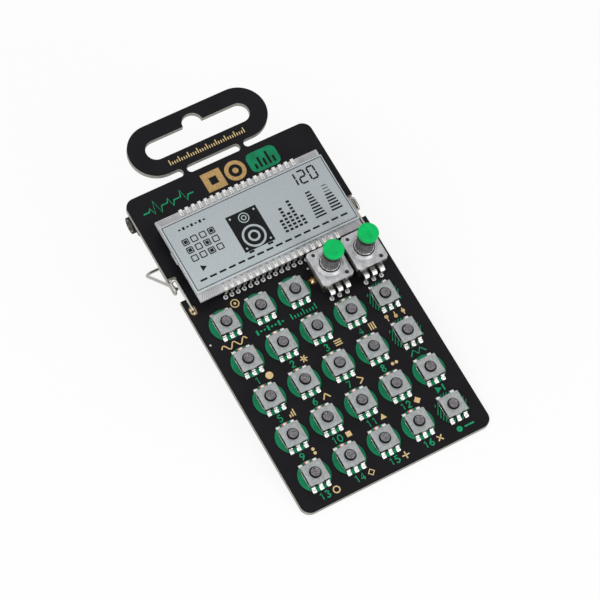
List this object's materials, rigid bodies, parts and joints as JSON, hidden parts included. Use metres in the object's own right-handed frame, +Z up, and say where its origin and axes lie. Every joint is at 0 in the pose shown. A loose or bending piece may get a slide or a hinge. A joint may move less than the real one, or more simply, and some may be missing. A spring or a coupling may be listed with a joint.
{
  "type": "drum machine",
  "caption": "Pocket drum machine on one bare circuit board, with push buttons, two knobs, a segment display and a folding wire stand.",
  "frame": {"origin": "bottom centre of the bounding box: the middle of the table line under the object as it stands on its lower edge and its wire foot", "axes": "+X to the right of someone playing it, +Y away from the player up the leaning board, +Z up"},
  "size_m": [0.061, 0.1208, 0.0328],
  "materials": {
    "solder_mask": "matt black solder mask over a glass-fibre board, 1.6 mm",
    "display_glass": "clear display glass",
    "polariser": "grey-green polarising film",
    "reflector": "reflective rear film",
    "tinned_pins": "bright tinned",
    "seal_resin": "cured resin",
    "switch_plastic": "moulded, matt",
    "switch_steel": "stamped sheet, satin",
    "light_lens": "clear moulded lens",
    "pot_plastic": "moulded, matt",
    "pot_steel": "stamped sheet, satin",
    "knob_sleeve": "moulded, fine ribs",
    "knob_cap": "moulded, satin gloss",
    "spring_wire": "drawn spring wire, bright",
    "cell_can": "plain wrap on a steel can",
    "contact_steel": "nickel plated sheet",
    "jack_plastic": "moulded, matt",
    "speaker_frame": "painted pressing",
    "speaker_cone": "pressed film",
    "chip_plastic": "moulded epoxy",
    "crystal_can": "drawn can",
    "capacitor_body": "moulded epoxy",
    "button_plastic": "moulded, dark grey, matt"
  },
  "bodies": {
    "board": {"circuit_board": "solder_mask", "display_rear_glass": "display_glass", "display_front_glass": "display_glass", "display_front_film": "polariser", "display_rear_film": "reflector", "display_pins": "tinned_pins", "display_seal_plug": "seal_resin", "switch_bases": "switch_plastic", "switch_covers": "switch_steel", "switch_domes": "switch_steel", "switch_leads": "tinned_pins", "step_lights": "light_lens", "pot_housings": "pot_plastic", "pot_covers": "pot_steel", "pot_legs": "tinned_pins", "left_stand_clip": "spring_wire", "right_stand_clip": "spring_wire", "battery_cells": "cell_can", "battery_contacts": "contact_steel", "left_jack": "jack_plastic", "right_jack": "jack_plastic", "speaker_basket": "speaker_frame", "speaker_cone": "speaker_cone", "processor_chip": "chip_plastic", "audio_chip": "chip_plastic", "crystal": "crystal_can", "capacitors": "capacitor_body"},
    "left_knob": {"left_knob_shaft": "knob_sleeve", "left_knob_sleeve": "knob_sleeve", "left_knob_cap": "knob_cap"},
    "right_knob": {"right_knob_shaft": "knob_sleeve", "right_knob_sleeve": "knob_sleeve", "right_knob_cap": "knob_cap"},
    "stand": {"stand_bail": "spring_wire"},
    "button_sound": {"button_sound": "button_plastic"},
    "button_pattern": {"button_pattern": "button_plastic"},
    "button_tempo": {"button_tempo": "button_plastic"},
    "button_1": {"button_1": "button_plastic"},
    "button_2": {"button_2": "button_plastic"},
    "button_3": {"button_3": "button_plastic"},
    "button_4": {"button_4": "button_plastic"},
    "button_function": {"button_function": "button_plastic"},
    "button_5": {"button_5": "button_plastic"},
    "button_6": {"button_6": "button_plastic"},
    "button_7": {"button_7": "button_plastic"},
    "button_8": {"button_8": "button_plastic"},
    "button_effects": {"button_effects": "button_plastic"},
    "button_9": {"button_9": "button_plastic"},
    "button_10": {"button_10": "button_plastic"},
    "button_11": {"button_11": "button_plastic"},
    "button_12": {"button_12": "button_plastic"},
    "button_play": {"button_play": "button_plastic"},
    "button_13": {"button_13": "button_plastic"},
    "button_14": {"button_14": "button_plastic"},
    "button_15": {"button_15": "button_plastic"},
    "button_16": {"button_16": "button_plastic"},
    "button_write": {"button_write": "button_plastic"}
  },
  "joints": [
    {"name": "left_knob_turn", "type": "hinge", "parent": "board", "child": "left_knob", "pos_m": [0.011, -0.00392, 0.02383], "axis": [0, -0.2412, 0.9705], "range_deg": [-150, 150]},
    {"name": "right_knob_turn", "type": "hinge", "parent": "board", "child": "right_knob", "pos_m": [0.0221, -0.00392, 0.02383], "axis": [0, -0.2412, 0.9705], "range_deg": [-150, 150]},
    {"name": "stand_fold", "type": "hinge", "parent": "board", "child": "stand", "pos_m": [0, 0.01279, 0.0186], "axis": [1, 0, 0], "range_deg": [0, 32]},
    {"name": "button_sound_press", "type": "slide", "parent": "board", "child": "button_sound", "axis": [0, 0.2412, -0.9705], "range_m": [0, 0.00025], "stiffness_N_per_m": 800, "springref_m": -0.0002},
    {"name": "button_pattern_press", "type": "slide", "parent": "board", "child": "button_pattern", "axis": [0, 0.2412, -0.9705], "range_m": [0, 0.00025], "stiffness_N_per_m": 800, "springref_m": -0.0002},
    {"name": "button_tempo_press", "type": "slide", "parent": "board", "child": "button_tempo", "axis": [0, 0.2412, -0.9705], "range_m": [0, 0.00025], "stiffness_N_per_m": 800, "springref_m": -0.0002},
    {"name": "button_1_press", "type": "slide", "parent": "board", "child": "button_1", "axis": [0, 0.2412, -0.9705], "range_m": [0, 0.00025], "stiffness_N_per_m": 800, "springref_m": -0.0002},
    {"name": "button_2_press", "type": "slide", "parent": "board", "child": "button_2", "axis": [0, 0.2412, -0.9705], "range_m": [0, 0.00025], "stiffness_N_per_m": 800, "springref_m": -0.0002},
    {"name": "button_3_press", "type": "slide", "parent": "board", "child": "button_3", "axis": [0, 0.2412, -0.9705], "range_m": [0, 0.00025], "stiffness_N_per_m": 800, "springref_m": -0.0002},
    {"name": "button_4_press", "type": "slide", "parent": "board", "child": "button_4", "axis": [0, 0.2412, -0.9705], "range_m": [0, 0.00025], "stiffness_N_per_m": 800, "springref_m": -0.0002},
    {"name": "button_function_press", "type": "slide", "parent": "board", "child": "button_function", "axis": [0, 0.2412, -0.9705], "range_m": [0, 0.00025], "stiffness_N_per_m": 800, "springref_m": -0.0002},
    {"name": "button_5_press", "type": "slide", "parent": "board", "child": "button_5", "axis": [0, 0.2412, -0.9705], "range_m": [0, 0.00025], "stiffness_N_per_m": 800, "springref_m": -0.0002},
    {"name": "button_6_press", "type": "slide", "parent": "board", "child": "button_6", "axis": [0, 0.2412, -0.9705], "range_m": [0, 0.00025], "stiffness_N_per_m": 800, "springref_m": -0.0002},
    {"name": "button_7_press", "type": "slide", "parent": "board", "child": "button_7", "axis": [0, 0.2412, -0.9705], "range_m": [0, 0.00025], "stiffness_N_per_m": 800, "springref_m": -0.0002},
    {"name": "button_8_press", "type": "slide", "parent": "board", "child": "button_8", "axis": [0, 0.2412, -0.9705], "range_m": [0, 0.00025], "stiffness_N_per_m": 800, "springref_m": -0.0002},
    {"name": "button_effects_press", "type": "slide", "parent": "board", "child": "button_effects", "axis": [0, 0.2412, -0.9705], "range_m": [0, 0.00025], "stiffness_N_per_m": 800, "springref_m": -0.0002},
    {"name": "button_9_press", "type": "slide", "parent": "board", "child": "button_9", "axis": [0, 0.2412, -0.9705], "range_m": [0, 0.00025], "stiffness_N_per_m": 800, "springref_m": -0.0002},
    {"name": "button_10_press", "type": "slide", "parent": "board", "child": "button_10", "axis": [0, 0.2412, -0.9705], "range_m": [0, 0.00025], "stiffness_N_per_m": 800, "springref_m": -0.0002},
    {"name": "button_11_press", "type": "slide", "parent": "board", "child": "button_11", "axis": [0, 0.2412, -0.9705], "range_m": [0, 0.00025], "stiffness_N_per_m": 800, "springref_m": -0.0002},
    {"name": "button_12_press", "type": "slide", "parent": "board", "child": "button_12", "axis": [0, 0.2412, -0.9705], "range_m": [0, 0.00025], "stiffness_N_per_m": 800, "springref_m": -0.0002},
    {"name": "button_play_press", "type": "slide", "parent": "board", "child": "button_play", "axis": [0, 0.2412, -0.9705], "range_m": [0, 0.00025], "stiffness_N_per_m": 800, "springref_m": -0.0002},
    {"name": "button_13_press", "type": "slide", "parent": "board", "child": "button_13", "axis": [0, 0.2412, -0.9705], "range_m": [0, 0.00025], "stiffness_N_per_m": 800, "springref_m": -0.0002},
    {"name": "button_14_press", "type": "slide", "parent": "board", "child": "button_14", "axis": [0, 0.2412, -0.9705], "range_m": [0, 0.00025], "stiffness_N_per_m": 800, "springref_m": -0.0002},
    {"name": "button_15_press", "type": "slide", "parent": "board", "child": "button_15", "axis": [0, 0.2412, -0.9705], "range_m": [0, 0.00025], "stiffness_N_per_m": 800, "springref_m": -0.0002},
    {"name": "button_16_press", "type": "slide", "parent": "board", "child": "button_16", "axis": [0, 0.2412, -0.9705], "range_m": [0, 0.00025], "stiffness_N_per_m": 800, "springref_m": -0.0002},
    {"name": "button_write_press", "type": "slide", "parent": "board", "child": "button_write", "axis": [0, 0.2412, -0.9705], "range_m": [0, 0.00025], "stiffness_N_per_m": 800, "springref_m": -0.0002}
  ]
}
